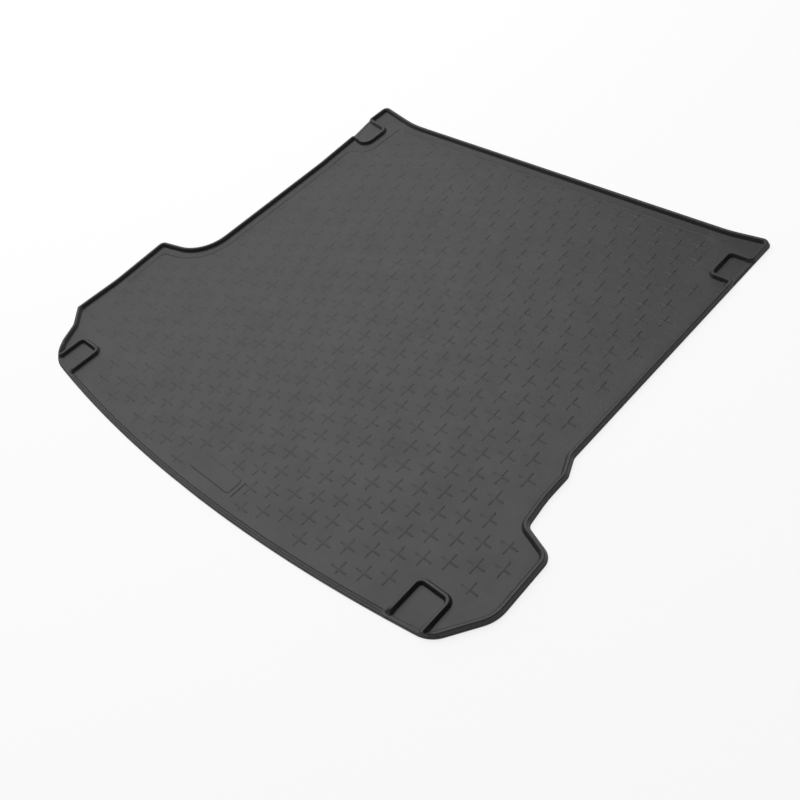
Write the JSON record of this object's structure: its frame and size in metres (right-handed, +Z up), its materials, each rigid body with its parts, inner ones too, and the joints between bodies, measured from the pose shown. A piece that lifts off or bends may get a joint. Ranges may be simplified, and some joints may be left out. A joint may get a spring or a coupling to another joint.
{
  "type": "car boot liner",
  "caption": "Flat moulded rubber boot mat with a low raised rim, wheel-arch recesses, corner tie-down pockets and a tread of small crosses.",
  "frame": {"origin": "on the underside, below the middle of the mat's bounding box", "axes": "+X across the car, left to right as seen from behind it; +Y from the loading edge towards the seats; +Z up"},
  "size_m": [1.2372, 1.0708, 0.0108],
  "materials": {
    "rubber": "matt, finely grained"
  },
  "bodies": {
    "root": {"boot_liner": "rubber"}
  },
  "joints": []
}
